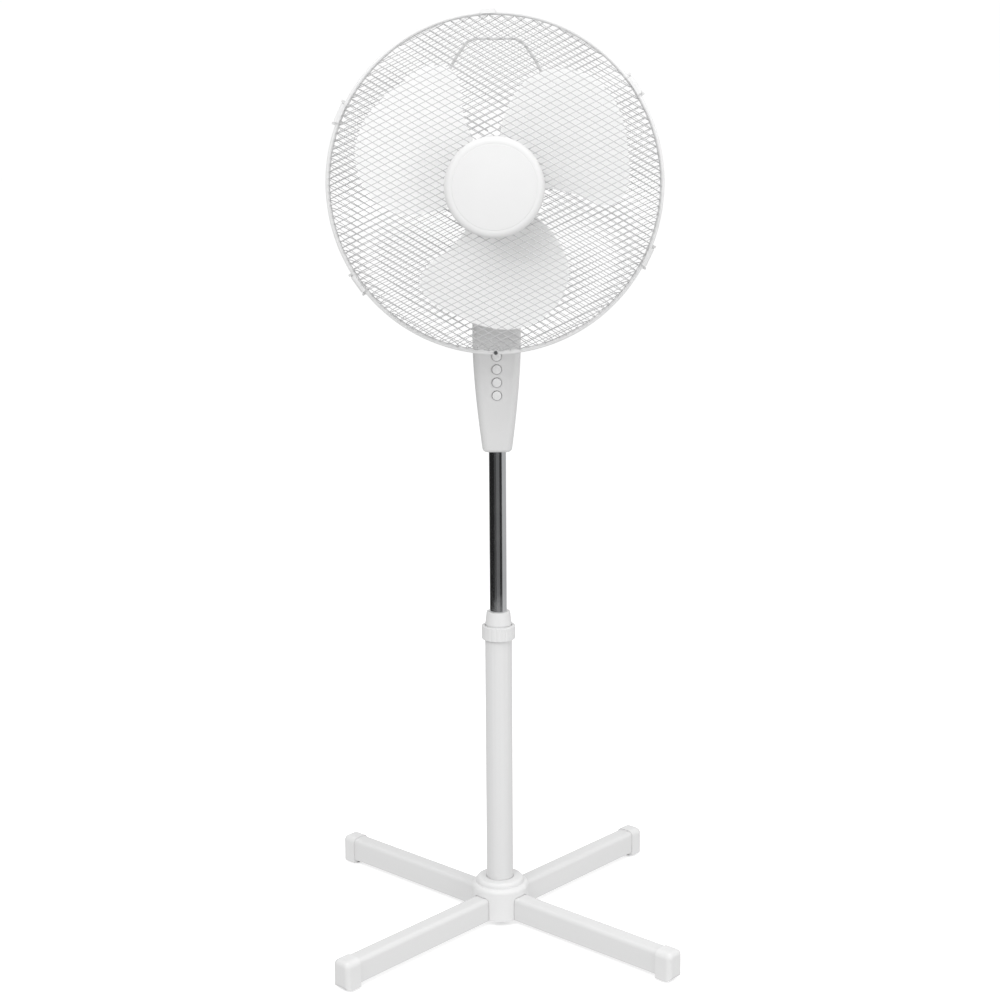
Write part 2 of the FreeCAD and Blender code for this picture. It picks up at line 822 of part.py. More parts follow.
def tilt_yoke():
    """A fork fixed in the box top that carries the tilt bolt."""
    inner = size("tongue_half_width + gap")
    plate_bottom = size("box_top") - 14
    body = Part.makeBox(42, 44, 6, Vector(-21, -22, plate_bottom))
    body = body.fuse([ear(inner, 6, 15.5, plate_bottom), ear(-inner - 6, 6, 15.5, plate_bottom)])
    bore = Part.makeCylinder(TILT_BOLT_RADIUS + 0.08, 80, Vector(-40, 0, size("tilt_height")), RIGHT)
    keep("tilt_yoke", solid("tilt_yoke", body.cut(bore).removeSplitter()))


def neck():
    """The tilting neck: a tongue between the fork's cheeks, a collar, the spindle that the head
    turns on, and an arm with the pin of the oscillation link."""
    half = size("tongue_half_width")
    pivot = size("tilt_height")
    radius = size("tongue_radius")
    top = size("neck_top")
    tongue = Part.makeCylinder(radius, 2 * half, Vector(-half, 0, pivot), RIGHT)
    stem = Part.makeBox(2 * half, 2 * radius, top - 12 - pivot, Vector(-half, -radius, pivot))
    cone = Part.makeCone(12, 19, 12, Vector(0, 0, top - 22))
    collar = Part.makeCylinder(19, 10, Vector(0, 0, top - 10))
    spindle = Part.makeCylinder(size("spindle_radius"), 38, Vector(0, 0, top))
    reach = size("anchor_radius")
    arm = Part.makeBox(reach, 9, 7, Vector(-reach, -4.5, top - 8))
    arm = arm.fuse(Part.makeCylinder(4.5, 7, Vector(-reach, 0, top - 8)))
    pin = Part.makeCylinder(2.5, 19.5, Vector(-reach, 0, top - 1.5))
    body = tongue.fuse([stem, cone, collar, spindle, arm, pin])
    bore = Part.makeCylinder(TILT_BOLT_RADIUS + 0.08, 80, Vector(-40, 0, pivot), RIGHT)
    keep("neck", solid("neck", body.cut(bore).removeSplitter()))


def tilt_bolt():
    left = -size("tongue_half_width + gap") - 6
    height = size("tilt_height")
    shank = Part.makeCylinder(TILT_BOLT_RADIUS, 46, Vector(left - 1, 0, height), RIGHT)
    head = hexagon(5.6, Vector(left - 5.3, 0, height), BACK, UP).extrude(RIGHT * 5)
    keep("tilt_bolt", solid("tilt_bolt", shank.fuse(head).removeSplitter()))


def tilt_knob():
    """A lobed hand nut on the tilt bolt."""
    left = size("tongue_half_width + gap") + 6.3
    height = size("tilt_height")
    body = Part.makeCylinder(7, 16, Vector(left, 0, height), RIGHT)
    grip = Part.makeCylinder(13, 10, Vector(left + 6, 0, height), RIGHT)
    lobes = 7
    for number in range(lobes):
        angle = 2 * math.pi * number / lobes
        centre = Vector(left + 5, 14.5 * math.cos(angle), height + 14.5 * math.sin(angle))
        grip = grip.cut(Part.makeCylinder(3.4, 14, centre, RIGHT))
    bore = Part.makeCylinder(TILT_BOLT_RADIUS + 0.08, 13, Vector(left - 1, 0, height), RIGHT)
    keep("tilt_knob", solid("tilt_knob", body.fuse(grip).cut(bore).removeSplitter()))


def tilting_neck():
    tilt_yoke()
    neck()
    tilt_bolt()
    tilt_knob()


# ---------------------------------------------------------------- oscillation linkage

def linkage():
    """The crank throw, the link length and the crank pin that swing the head this far each way."""
    reach = size("anchor_radius")
    swing = math.radians(size("swing_degrees"))
    offset = size("crank_offset")
    near = math.hypot(reach * math.cos(swing), offset - reach * math.sin(swing))
    far = math.hypot(reach * math.cos(swing), offset + reach * math.sin(swing))
    throw, length = (far - near) / 2, (far + near) / 2
    direct = math.hypot(reach, offset)
    corner = math.acos((direct**2 + throw**2 - length**2) / (2 * direct * throw))
    heading = math.atan2(-offset, -reach) - corner
    pin = Vector(throw * math.cos(heading), offset + throw * math.sin(heading), 0)
    return throw, length, pin


# The crank disc: its top face, thickness and rim outside the crank pin. Then the gears' radii.
CRANK_TOP = 989
CRANK_THICK = 5
CRANK_RIM = 3.7
PINION_RADIUS = 3
WORM_RADIUS = 4.6
WHEEL_RADIUS = 9.6


def spindle_spot():
    """Where the worm wheel's upright spindle stands, in mesh with the shaft worm and crank gear."""
    throw = linkage()[0]
    centres = throw + CRANK_RIM + PINION_RADIUS + size("gap")
    across = WORM_RADIUS + WHEEL_RADIUS + size("gap")
    return Vector(across, size("crank_offset") - math.sqrt(centres**2 - across**2), 0)


def crank_gear():
    """The crank disc with its axle. Its rim stands for the teeth."""
    throw = linkage()[0]
    centre = Vector(0, size("crank_offset"), 0)
    disc = Part.makeCylinder(throw + CRANK_RIM, CRANK_THICK, centre + Vector(0, 0, CRANK_TOP - CRANK_THICK))
    axle = Part.makeCylinder(3, 24, centre + Vector(0, 0, CRANK_TOP))
    keep("crank_gear", solid("crank_gear", disc.fuse(axle).removeSplitter()))


def link_rod():
    """The flat link from the neck's pin to the crank pin, with an eye at each end."""
    pin = linkage()[2]
    anchor = Vector(-size("anchor_radius"), 0, 0)
    base = size("neck_top") + 14.5
    along = pin - anchor
    heading = math.degrees(math.atan2(along.y, along.x))
    bar = Part.makeBox(along.Length, 7, 3, Vector(0, -3.5, 0))
    bar.Placement = Placement(anchor + Vector(0, 0, base), Rotation(UP, heading))
    ends = [Part.makeCylinder(5, 3, spot + Vector(0, 0, base)) for spot in (anchor, pin)]
    body = bar.fuse(ends)
    for spot in (anchor, pin):
        body = body.cut(Part.makeCylinder(size("2.5 + fit"), 8, spot + Vector(0, 0, base - 2)))
    rod = body.removeSplitter()
    keep("oscillation_link", solid("oscillation_link", Part.makeCompound([rod, crank_pin(pin, base)])))


def crank_pin(pin, base):
    """The shoulder pin in the link's far eye. It stops short of the crank disc, where the loop is
    left open."""
    shank = Part.makeCylinder(2.45, CRANK_TOP - CRANK_THICK - 0.5 - base, pin + Vector(0, 0, base))
    head = Part.makeCylinder(4.4, 2, pin + Vector(0, 0, base - 2.1))
    neck_part = Part.makeCylinder(2.45, 1, pin + Vector(0, 0, base - 0.5))
    return shank.fuse([head, neck_part]).removeSplitter()


def worm_spindle():
    """The worm wheel on its upright spindle, with the pinion that drives the crank gear."""
    spot = spindle_spot()
    rod = Part.makeCylinder(2.5, 107, spot + Vector(0, 0, 983))
    wheel = Part.makeCylinder(WHEEL_RADIUS, 8, spot + Vector(0, 0, size("head_height") - 4))
    pinion = Part.makeCylinder(PINION_RADIUS, CRANK_THICK, spot + Vector(0, 0, CRANK_TOP - CRANK_THICK))
    keep("worm_spindle", solid("worm_spindle", rod.fuse([wheel, pinion]).removeSplitter()))


def oscillation_knob():
    """The pull knob on top of the motor cover, with a hollow stem over the spindle."""
    spot = spindle_spot()
    stem = Part.makeCylinder(3.5, 34, spot + Vector(0, 0, 1074))
    grip = Part.makeCone(8, 10, 16, spot + Vector(0, 0, 1106))
    top_edges = [edge for edge in grip.Edges if is_level(edge, 1122) and edge.Length > 40]
    grip = grip.makeFillet(2, top_edges)
    bore = Part.makeCylinder(size("2.5 + fit"), 21, spot + Vector(0, 0, 1073))
    keep("oscillation_knob", solid("oscillation_knob", stem.fuse(grip).cut(bore).removeSplitter()))


# ---------------------------------------------------------------- motor

def motor_cover_front():
    """The front motor cup with the threaded nose that carries the rear guard."""
    cup = on_head(turned(
        "front_cup",
        [
            ("9", "128"),
            ("15.8", "128"),
            ("15.8", "139"),
            ("motor_radius", "139"),
            ("motor_radius", "192.5"),
            ("motor_radius - motor_wall", "192.5"),
            ("motor_radius - motor_wall", "141.4"),
            ("9", "141.4"),
        ],
        [("motor_radius", "139", "9"), ("motor_radius - motor_wall", "141.4", "7")],
    ))
    notch = block("sleeve_notch", 21, 10, 20, -10.5, -13, "head_height - motor_radius - 5")
    keep("motor_cover_front", cut("motor_cover_front", cup, notch))


def motor_cover_rear():
    """The rear motor cover, vented, open underneath for the pivot and the crank."""
    shell = on_head(turned(
        "rear_shell",
        [
            ("motor_radius - motor_wall", "193"),
            ("motor_radius", "193"),
            ("motor_radius", "248", "motor_radius - 6", "262"),
            ("motor_radius - 19", "272", "motor_radius - 34", "275.5"),
            ("0", "277"),
            ("0", "274.6"),
            ("motor_radius - 20", "269.6", "motor_radius - 8", "260"),
            ("motor_radius - motor_wall", "248"),
        ],
    ))
    height = size("head_height")
    tools = [Part.makeBox(84, 78, 60, Vector(-42, -16, height - 92))]
    spot = spindle_spot()
    tools.append(Part.makeCylinder(4, 60, Vector(spot.x, spot.y, height + 30)))
    slots = 24
    for number in range(slots):
        angle = 360 / slots * number
        if 60 <= angle <= 105 or 225 <= angle <= 315:
            continue
        slot = Part.makeBox(20, 26, 3, Vector(size("motor_radius") - 12, 10, -1.5))
        turn = Rotation(BACK, -angle)
        slot.Placement = Placement(Vector(0, 0, height), turn).multiply(slot.Placement)
        tools.append(slot)
    for row in range(-3, 4):
        half = 22 - 2 * abs(row)
        tools.append(Part.makeBox(2 * half, 20, 2.6, Vector(-half, 66, height + 7 * row - 1.3)))
    keep("motor_cover_rear", cut("motor_cover_rear", shell, solid("rear_vents", Part.makeCompound(tools))))


def ring_piece(name, inner, outer, start, end):
    return keep(name, on_head(turned(
        name, [(inner, start), (outer, start), (outer, end), (inner, end)]
    )))


def stator():
    ring_piece("stator_core", "24", "43", "166", "192")
    coils = [
        on_head(turned(f"coil{number}", [("26", start), ("40", start), ("40", end), ("26", end)],
                       [("40", start, "2.5"), ("40", end, "2.5"), ("26", start, "2.5"), ("26", end, "2.5")]))
        for number, (start, end) in enumerate((("156", "165.8"), ("192.2", "201.5")))
    ]
    keep("stator_coils", group("stator_coils", coils))


def rotor_and_shaft():
    ring_piece("rotor", "shaft_radius + 0.02", "23.4", "165", "193")
    worm_middle = spindle_spot().y + size("head_reach")
    start, end = worm_middle - 8, worm_middle + 8
    grooves = 6
    pitch = (end - start) / grooves
    corners = [
        ("0", "46"),
        ("shaft_radius - 0.8", "46"),
        ("shaft_radius", "47"),
        ("shaft_radius", f"{start:.3f}"),
    ]
    for number in range(grooves):
        low = start + pitch * number
        corners.append((f"{WORM_RADIUS}", f"{low + 0.3 * pitch:.3f}"))
        corners.append((f"{WORM_RADIUS}", f"{low + 0.6 * pitch:.3f}"))
        corners.append(("shaft_radius - 0.6", f"{low + pitch:.3f}"))
    corners += [("shaft_radius - 0.6", f"{end + 4:.3f}"), ("0", f"{end + 4:.3f}")]
    shaft = on_head(turned("shaft_blank", corners))
    pin = cylinder("drive_pin", 1.45, 15, -7.5, "-head_reach + 101", "head_height", "X")
    hole = cylinder("drive_pin_hole", 1.47, 15, -7.5, "-head_reach + 101", "head_height", "X")
    keep("motor_shaft", group("motor_shaft", [cut("drilled_shaft", shaft, hole), pin]))


def end_bracket_front():
    keep("end_bracket_front", on_head(turned(
        "end_bracket_front",
        [
            ("8.95", "142.2"),
            ("13", "142.2"),
            ("13", "146"),
            ("46", "149"),
            ("46", "170"),
            ("43.2", "170"),
            ("43.2", "152"),
            ("13", "149"),
            ("13", "152.5"),
            ("8.95", "152.5"),
        ],
    )))


def bearings():
    """The two plain shaft bearings, one in each motor bracket."""
    rings = [
        on_head(turned(name, [("shaft_radius + 0.05", start), ("8.93", start), ("8.93", end),
                              ("shaft_radius + 0.05", end)]))
        for name, start, end in (("bearing_front", "142.6", "152"), ("bearing_rear", "202.6", "211.4"))
    ]
    keep("shaft_bearings", group("shaft_bearings", rings))


def gearbox_housing():
    """The rear motor bracket in one casting with the gearbox and the sleeve of the pivot."""
    height = size("head_height")
    front = Vector(0, -size("head_reach"), height)
    disc = Part.makeCylinder(46, 3, front + BACK * 203, BACK)
    rim = Part.makeCylinder(46, 12, front + BACK * 191, BACK)
    rim = rim.cut(Part.makeCylinder(43.2, 12, front + BACK * 191, BACK))
    hub = Part.makeCylinder(13, 14, front + BACK * 202, BACK)
    sleeve_bottom = size("neck_top") + 1
    sleeve = Part.makeCylinder(9.5, height - 43.4 - sleeve_bottom, Vector(0, 0, sleeve_bottom))
    case_floor = 1004
    case = Part.makeBox(46, 41, 64, Vector(-18, 12.5, case_floor))
    hollow = Part.makeBox(41, 36, 59, Vector(-15.5, 15, case_floor + 2.5))
    crank_spot = Vector(0, size("crank_offset"), 0)
    spot = spindle_spot()
    boss_bottom = CRANK_TOP + 1
    bosses = [
        Part.makeCylinder(6, case_floor + 1 - boss_bottom, crank_spot + Vector(0, 0, boss_bottom)),
        Part.makeCylinder(5.5, case_floor + 1 - boss_bottom, spot + Vector(0, 0, boss_bottom)),
    ]
    body = disc.fuse([rim, hub, sleeve, case.cut(hollow)] + bosses)
    body = body.cut(Part.makeCompound([
        Part.makeCylinder(8.95, 12, front + BACK * 201, BACK),
        Part.makeCylinder(5.4, 20, front + BACK * 205, BACK),
    ]))
    body = body.cut(Part.makeCompound([
        Part.makeCylinder(size("spindle_radius + fit"), 42, Vector(0, 0, sleeve_bottom - 1)),
        Part.makeCylinder(size("3 + fit"), 24, crank_spot + Vector(0, 0, boss_bottom - 1)),
        Part.makeCylinder(size("2.5 + fit"), 90, spot + Vector(0, 0, boss_bottom - 1)),
    ]))
    windows = []
    for number in (0, 1, 2, 4, 5):
        centre = front + BACK * 202 + Rotation(BACK, 60 * number).multVec(Vector(0, 0, 29))
        windows.append(Part.makeCylinder(8, 6, centre, BACK))
    body = body.cut(Part.makeCompound(windows))
    keep("gearbox_housing", solid("gearbox_housing", body.removeSplitter()))


def motor():
    motor_cover_front()
    motor_cover_rear()
    stator()
    rotor_and_shaft()
    end_bracket_front()
    bearings()
    gearbox_housing()
    crank_gear()
    link_rod()
    worm_spindle()
    oscillation_knob()


# ---------------------------------------------------------------- propeller

# One blade outline as (share of the tip radius, degrees from the blade's middle line).
BLADE_OUTLINE = [
    (0.10, 50), (0.42, 53), (0.60, 48.5), (0.75, 42.5), (0.87, 33.5), (0.96, 22), (1.00, 8),
    (0.975, -6), (0.94, -20), (0.92, -31), (0.86, -38), (0.73, -41), (0.62, -38.5), (0.50, -35.5),
    (0.34, -34), (0.10, -40),
]


def blade_height(radius, degrees):
    """How far back the blade lies: a screw surface with a little camber."""
    turn = degrees / 50
    lift = size("blade_rise") / 2 * turn
    camber = 5 * (1 - turn * turn) * radius / size("blade_tip_radius")
    return size("blade_middle") - lift + camber


def blade(middle):
    """One blade about the fan axis, its middle line at this angle."""
    rows = []
    for share in (0.08, 0.25, 0.45, 0.65, 0.85, 1.06):
        radius = share * size("blade_tip_radius")
        row = []
        for step in range(9):
            degrees = -60 + 15 * step
            angle = math.radians(middle + degrees)
            depth = blade_height(radius, degrees)
            row.append(Vector(radius * math.cos(angle), depth, radius * math.sin(angle)))
        rows.append(row)
    surface = Part.BSplineSurface()
    surface.interpolate(rows)
    sheet_solid = surface.toShape().extrude(Vector(0, size("blade_thickness"), 0))
    points = []
    for share, degrees in BLADE_OUTLINE:
        radius = share * size("blade_tip_radius")
        angle = math.radians(middle + degrees)
        points.append(Vector(radius * math.cos(angle), 0, radius * math.sin(angle)))
    curve = Part.BSplineCurve()
    curve.interpolate(points)
    root = Part.makeLine(points[-1], points[0])
    outline = Part.Face(Part.Wire([curve.toShape(), root]))
    return sheet_solid.common(outline.extrude(Vector(0, 160, 0)))


def propeller():
    """Three wide blades on a cupped hub."""
    cup = Part.makeCylinder(24, 42, Vector(0, 58, 0), BACK)
    cup = cup.makeFillet(4, [edge for edge in cup.Edges if abs(edge.CenterOfMass.y - 58) < 1e-6])
    cup = cup.cut(Part.makeCylinder(21, 42, Vector(0, 62, 0), BACK))
    core = Part.makeCylinder(9, 46, Vector(0, 57, 0), BACK)
    ribs = []
    for number in range(6):
        rib = Part.makeBox(14, 36, 2, Vector(8, 60, -1))
        rib.Placement = Placement(Vector(), Rotation(BACK, 60 * number)).multiply(rib.Placement)
        ribs.append(rib)
    blades = []
    clear = Part.makeCylinder(22.5, 200, Vector(0, 0, 0), BACK)
    for middle in (30, 150, 270):
        blades.append(blade(middle).cut(clear))
    body = cup.fuse([core] + ribs + blades)
    body = body.cut(Part.makeCylinder(size("shaft_radius + 0.03"), 100, Vector(0, 40, 0), BACK))
    body = body.cut(Part.makeBox(16, 5, 3.1, Vector(-8, 99.4, -1.55)))
    body.translate(Vector(0, -size("head_reach"), size("head_height")))
    keep("propeller", solid("propeller", body.removeSplitter()))


def spinner():
    keep("spinner", on_head(turned(
        "spinner",
        [
            ("0", "34"),
            ("9", "36"),
            ("15", "44"),
            ("18", "56.6"),
            ("shaft_radius + 0.03", "56.6"),
            ("shaft_radius + 0.03", "44"),
            ("0", "44"),
        ],
        [("15", "44", "3"), ("9", "36", "3")],
    )))


# ---------------------------------------------------------------- guard

def dish_points(radius, depth, steps=12):
    """The dish's half profile as (radius, depth), a superellipse from the rim to the middle."""
    share = 2 / size("dish_power")
    points = []
    for step in range(steps + 1):
        angle = math.pi / 2 * step / steps
        points.append((radius * math.cos(angle) ** share, depth * math.sin(angle) ** share))
    return points


def dish_shell(facing):
    """A thin dish turned about the fan axis, bulging forwards (-1) or backwards (+1)."""
    thick = size("mesh_thickness")
    rim = size("rim_radius - rim_wire - gap")
    lift = size("rim_wire")
    start = size("rim_plane") - size("head_reach") + facing * lift
    curves = []
    for inset in (0, thick):
        profile = dish_points(rim - inset, size("dish_depth") - lift - inset)
        points = [Vector(radius, start + facing * depth, 0) for radius, depth in profile]
        curve = Part.BSplineCurve()
        curve.interpolate(points)
        curves.append((curve.toShape(), points))
    outer, inner = curves
    lines = [
        Part.makeLine(outer[1][0], inner[1][0]),
        Part.makeLine(outer[1][-1], inner[1][-1]),
    ]
    face = Part.Face(Part.Wire(Part.sortEdges([outer[0], lines[0], inner[0], lines[1]])[0]))
    return face.revolve(Vector(), BACK, 360)


def diamond_holes(inner, outer):
    """Diamond prisms along the fan axis, clipped to a ring, that open the mesh."""
    across, up = size("mesh_width") / 2, size("mesh_height") / 2
    slope = math.atan2(up, across)
    strand = size("mesh_strand") / 2
    half_width = across - strand / math.sin(slope)
    half_height = up - strand / math.cos(slope)
    columns, rows = int(outer / across) + 2, int(outer / up) + 2
    prisms = []
    for column in range(-columns, columns + 1):
        for row in range(-rows, rows + 1):
            x, z = column * across, row * up
            if (column + row) % 2 or math.hypot(x, z) > outer + across or math.hypot(x, z) < inner - across:
                continue
            corners = [
                Vector(x + half_width, 0, z), Vector(x, 0, z + half_height),
                Vector(x - half_width, 0, z), Vector(x, 0, z - half_height), Vector(x + half_width, 0, z),
            ]
            prisms.append(Part.Face(Part.makePolygon(corners)))
    circles = [Part.Wire(Part.makeCircle(radius, Vector(), BACK)) for radius in (outer, inner)]
    ring = Part.Face(circles)
    ring.validate()
    faces = []
    for diamond in prisms:
        faces += ring.common(diamond).Faces
    faces = [face for face in faces if face.Area > 4]
    solids = [face.extrude(Vector(0, 400, 0)) for face in faces]
    holes = Part.makeCompound(solids)
    holes.translate(Vector(0, -200, 0))
    return holes


def guard_mesh(name, facing, inner):
    """One half of the guard: a dish of crossed diagonal strands with a plain band at each edge."""
    shell = dish_shell(facing)
    shell = shell.cut(Part.makeCylinder(inner, 400, Vector(0, -200, 0), BACK))
    band = size("mesh_strand")
    holes = diamond_holes(inner + band, size("rim_radius - rim_wire - gap - mesh_thickness") - band / 2)
    mesh = shell.cut(holes)
    mesh.translate(Vector(0, 0, size("head_height")))
    keep(name, solid(name, mesh))


def rim(name, offset):
    """A round wire rim with a small lug at the bottom for the rim screw."""
    torus = doc.addObject("Part::Torus", name + "_wire")
    torus.setExpression("Radius1", bound("rim_radius"))
    torus.setExpression("Radius2", bound("rim_wire"))
    place(torus, 0, f"rim_plane - head_reach + {offset}", "head_height", AXIS_TURN["Y"])
    lug = cylinder(
        name + "_lug", 4.2, 4, 0, f"rim_plane - head_reach + {offset} - 2", "head_height - rim_radius", "Y"
    )
    return join(name + "_blank", torus, lug)


# The clips: degrees round the rim, half length, and the hinge pin out from and behind the rims.
CLIP_ANGLES = {"upper_right": 35, "upper_left": 155, "lower_left": 215, "lower_right": 335}
CLIP_HALF_LENGTH = 12
PIN_RADIUS_OUT = 4.8
PIN_BACK = 7
PIN_RADIUS = 1.2
EAR_THICKNESS = 3
RIM_SCREW_RADIUS = 1.4


def around_rim(shape, degrees):
    """Turns a shape made at the right-hand side of the guard to its own place round the rim."""
    shape.Placement = Placement(
        Vector(0, 0, size("head_height")), Rotation(BACK, -degrees)
    ).multiply(shape.Placement)
    return shape


def rims():
    """The front and the rear rim wires. The rear one has the ears that the clips hinge in."""
    offset = size("rim_wire") + size("gap") / 2
    out = size("rim_radius")
    plane = size("rim_plane - head_reach")
    screw_hole = cylinder(
        "rim_hole", RIM_SCREW_RADIUS + 0.25, 40,
        0, "rim_plane - head_reach - 20", "head_height - rim_radius", "Y",
    )
    keep("front_rim", cut("front_rim", rim("front_rim", -offset), screw_hole))
    ear_offset = CLIP_HALF_LENGTH + 1.4 + EAR_THICKNESS / 2
    ears, bores = [], []
    for degrees in CLIP_ANGLES.values():
        for side in (-1, 1):
            corner = Vector(out - 1, plane + PIN_BACK - 3, side * ear_offset - EAR_THICKNESS / 2)
            ears.append(around_rim(Part.makeBox(PIN_RADIUS_OUT + 3.6, 6, EAR_THICKNESS, corner), degrees))
        start = Vector(out + PIN_RADIUS_OUT, plane + PIN_BACK, -2 * CLIP_HALF_LENGTH)
        bores.append(around_rim(Part.makeCylinder(PIN_RADIUS + 0.08, 4 * CLIP_HALF_LENGTH, start), degrees))
    with_ears = join("rear_rim_ears", rim("rear_rim", offset), solid("clip_ears", Part.makeCompound(ears)))
    keep("rear_rim", cut("rear_rim", with_ears, solid("clip_bores", Part.makeCompound(bores)), screw_hole))


def clip_section(out, back, front):
    """A clip's section: a plate over both rims with a lip that hooks round the front one."""
    outer, inner = out + 4.5, out + 3.1
    corners = [
        (inner, back - 1.5),
        (outer, back - 1.5),
        (outer, front - 1),
        (outer - 1.4, front - 2.4),
        (out - 1, front - 2.4),
        (out - 1, front - 0.4),
        (inner, front - 0.4),
    ]
    points = [Vector(radius, y, 0) for radius, y in corners]
    return Part.Face(Part.makePolygon(points + points[:1]))


def guard_clips():
    """Four hinged clips that hold the front rim to the rear one."""
    out = size("rim_radius")
    plane = size("rim_plane - head_reach")
    front = plane - 2 * size("rim_wire") - size("gap")
    half_angle = math.degrees(CLIP_HALF_LENGTH / out)
    pin_reach = CLIP_HALF_LENGTH + 1.4 + EAR_THICKNESS
    for side, degrees in CLIP_ANGLES.items():
        face = clip_section(out, plane + PIN_BACK, front)
        face.rotate(Vector(), BACK, -half_angle)
        plate = face.revolve(Vector(), BACK, 2 * half_angle)
        hinge = Vector(out + PIN_RADIUS_OUT, plane + PIN_BACK, 0)
        half_knuckle = CLIP_HALF_LENGTH - 0.5
        knuckle = Part.makeCylinder(PIN_RADIUS + 0.9, 2 * half_knuckle, hinge - Vector(0, 0, half_knuckle))
        pin = Part.makeCylinder(PIN_RADIUS, 2 * pin_reach, hinge - Vector(0, 0, pin_reach))
        body = around_rim(plate.fuse([knuckle, pin]), degrees)
        name = "guard_clip_" + side
        keep(name, solid(name, body.removeSplitter()))


# The hook plate over the top of the rims: degrees round the rim and half its length in degrees.
HOOK_ANGLE = 92
HOOK_HALF_ANGLE = 2.4


def rim_fasteners():
    """The small screw and nut at the bottom of the rims and the hook plate at the top."""
    bottom = size("head_height - rim_radius")
    plane = size("rim_plane - head_reach")
    front = plane - size("rim_wire") - size("gap") / 2 - 2
    head = Part.makeCylinder(2.5, 1.8, Vector(0, front - 2.7, bottom), BACK)
    shank = Part.makeCylinder(RIM_SCREW_RADIUS, 17, Vector(0, front - 1, bottom), BACK)
    slot = Part.makeBox(4, 0.8, 0.7, Vector(-2, front - 2.7, bottom - 0.35))
    screw = head.fuse(shank).cut(slot).removeSplitter()
    back = plane + size("2 * rim_wire + gap / 2") + 0.25
    nut = hexagon(3.2, Vector(0, back, bottom), RIGHT, UP).extrude(BACK * 3)
    nut = nut.cut(Part.makeCylinder(RIM_SCREW_RADIUS + 0.03, 9, Vector(0, back - 2, bottom), BACK))
    keep("rim_fastener", solid("rim_fastener", Part.makeCompound([screw, nut])))
    keep_clear = size("rim_wire + gap")
    top = size("rim_radius")
    profile = [
        (top + keep_clear, plane + 9),
        (top + keep_clear + 1.3, plane + 9),
        (top + keep_clear + 1.3, plane - 8),
        (top - 1, plane - 8),
        (top - 1, plane - 6.7),
        (top + keep_clear, plane - 6.7),
    ]
    points = [Vector(radius, y, 0) for radius, y in profile]
    face = Part.Face(Part.makePolygon(points + points[:1]))
    face.rotate(Vector(), BACK, -HOOK_HALF_ANGLE)
    hook = around_rim(face.revolve(Vector(), BACK, 2 * HOOK_HALF_ANGLE), HOOK_ANGLE)
    keep("rim_hook", solid("rim_hook", hook))


def badge():
    """The plain round centre plate of the front guard, a shallow dome with a ring groove."""
    plate = on_head(turned(
        "badge_blank",
        [
            ("0", "3.4", "26", "3.9"),
            ("badge_radius - 10", "5.6"),
            ("badge_radius - 9.6", "6.1"),
            ("badge_radius - 8.8", "6.0", "badge_radius - 3", "7.6"),
            ("badge_radius", "12"),
            ("badge_radius", "18.6"),
            ("badge_radius - 2.5", "18.6"),
            ("badge_radius - 3.5", "10.5"),
            ("0", "7.6"),
        ],
    ))
    spots = badge_screw_spots()
    bosses = [Part.makeCylinder(3.6, 11.8, spot + BACK * 8.4, BACK) for spot in spots]
    bores = [Part.makeCylinder(1.55, 10, spot + BACK * 10.5, BACK) for spot in spots]
    with_bosses = join("badge_bosses_joined", plate, solid("badge_bosses", Part.makeCompound(bosses)))
    keep("badge", cut("badge", with_bosses, solid("badge_bores", Part.makeCompound(bores))))
    backplate = on_head(turned(
        "backplate_blank",
        [("12", "20.4"), ("badge_radius - 6", "20.4"), ("badge_radius - 6", "22.6"), ("12", "22.6")],
    ))
    holes = [Part.makeCylinder(1.8, 10, spot + BACK * 16, BACK) for spot in spots]
    keep("badge_backplate", cut(
        "badge_backplate", backplate, solid("backplate_holes", Part.makeCompound(holes))
    ))


def badge_screw_spots():
    start = Vector(0, -size("head_reach"), size("head_height"))
    return [start + Rotation(BACK, 120 * number + 30).multVec(Vector(0, 0, 44)) for number in range(3)]


def badge_screws():
    screws = []
    for spot in badge_screw_spots():
        head = Part.makeCylinder(3.4, 2, spot + BACK * 22.7, BACK)
        shank = Part.makeCylinder(1.5, 12, spot + BACK * 10.8, BACK)
        screws.append(head.fuse(shank).removeSplitter())
    keep("badge_screws", solid("badge_screws", Part.makeCompound(screws)))


def rear_guard_plate():
    """The steel centre plate of the rear guard, clamped on the motor nose."""
    plate = on_head(turned(
        "rear_plate_blank",
        [
            ("15.95", "136.8"),
            ("40", "136.8"),
            ("44", "134.5"),
            ("plate_radius", "134.5"),
            ("plate_radius", "136.5"),
            ("45", "136.5"),
            ("41", "138.8"),
            ("15.95", "138.8"),
        ],
    ))
    keep("rear_guard_plate", plate)


def guard_nut():
    """The plastic nut that clamps the rear guard on the motor nose."""
    blank = on_head(turned(
        "guard_nut_blank",
        [
            ("15.9", "128.5"),
            ("20", "128.5"),
            ("24", "131"),
            ("27", "136.5"),
            ("15.9", "136.5"),
        ],
    ))
    tools = []
    lobes = 6
    start = Vector(0, -size("head_reach"), size("head_height"))
    for number in range(lobes):
        spot = start + Rotation(BACK, 360 / lobes * number).multVec(Vector(0, 0, 29))
        tools.append(Part.makeCylinder(5, 12, spot + BACK * 126, BACK))
    keep("guard_nut", cut("guard_nut", blank, solid("nut_grips", Part.makeCompound(tools))))


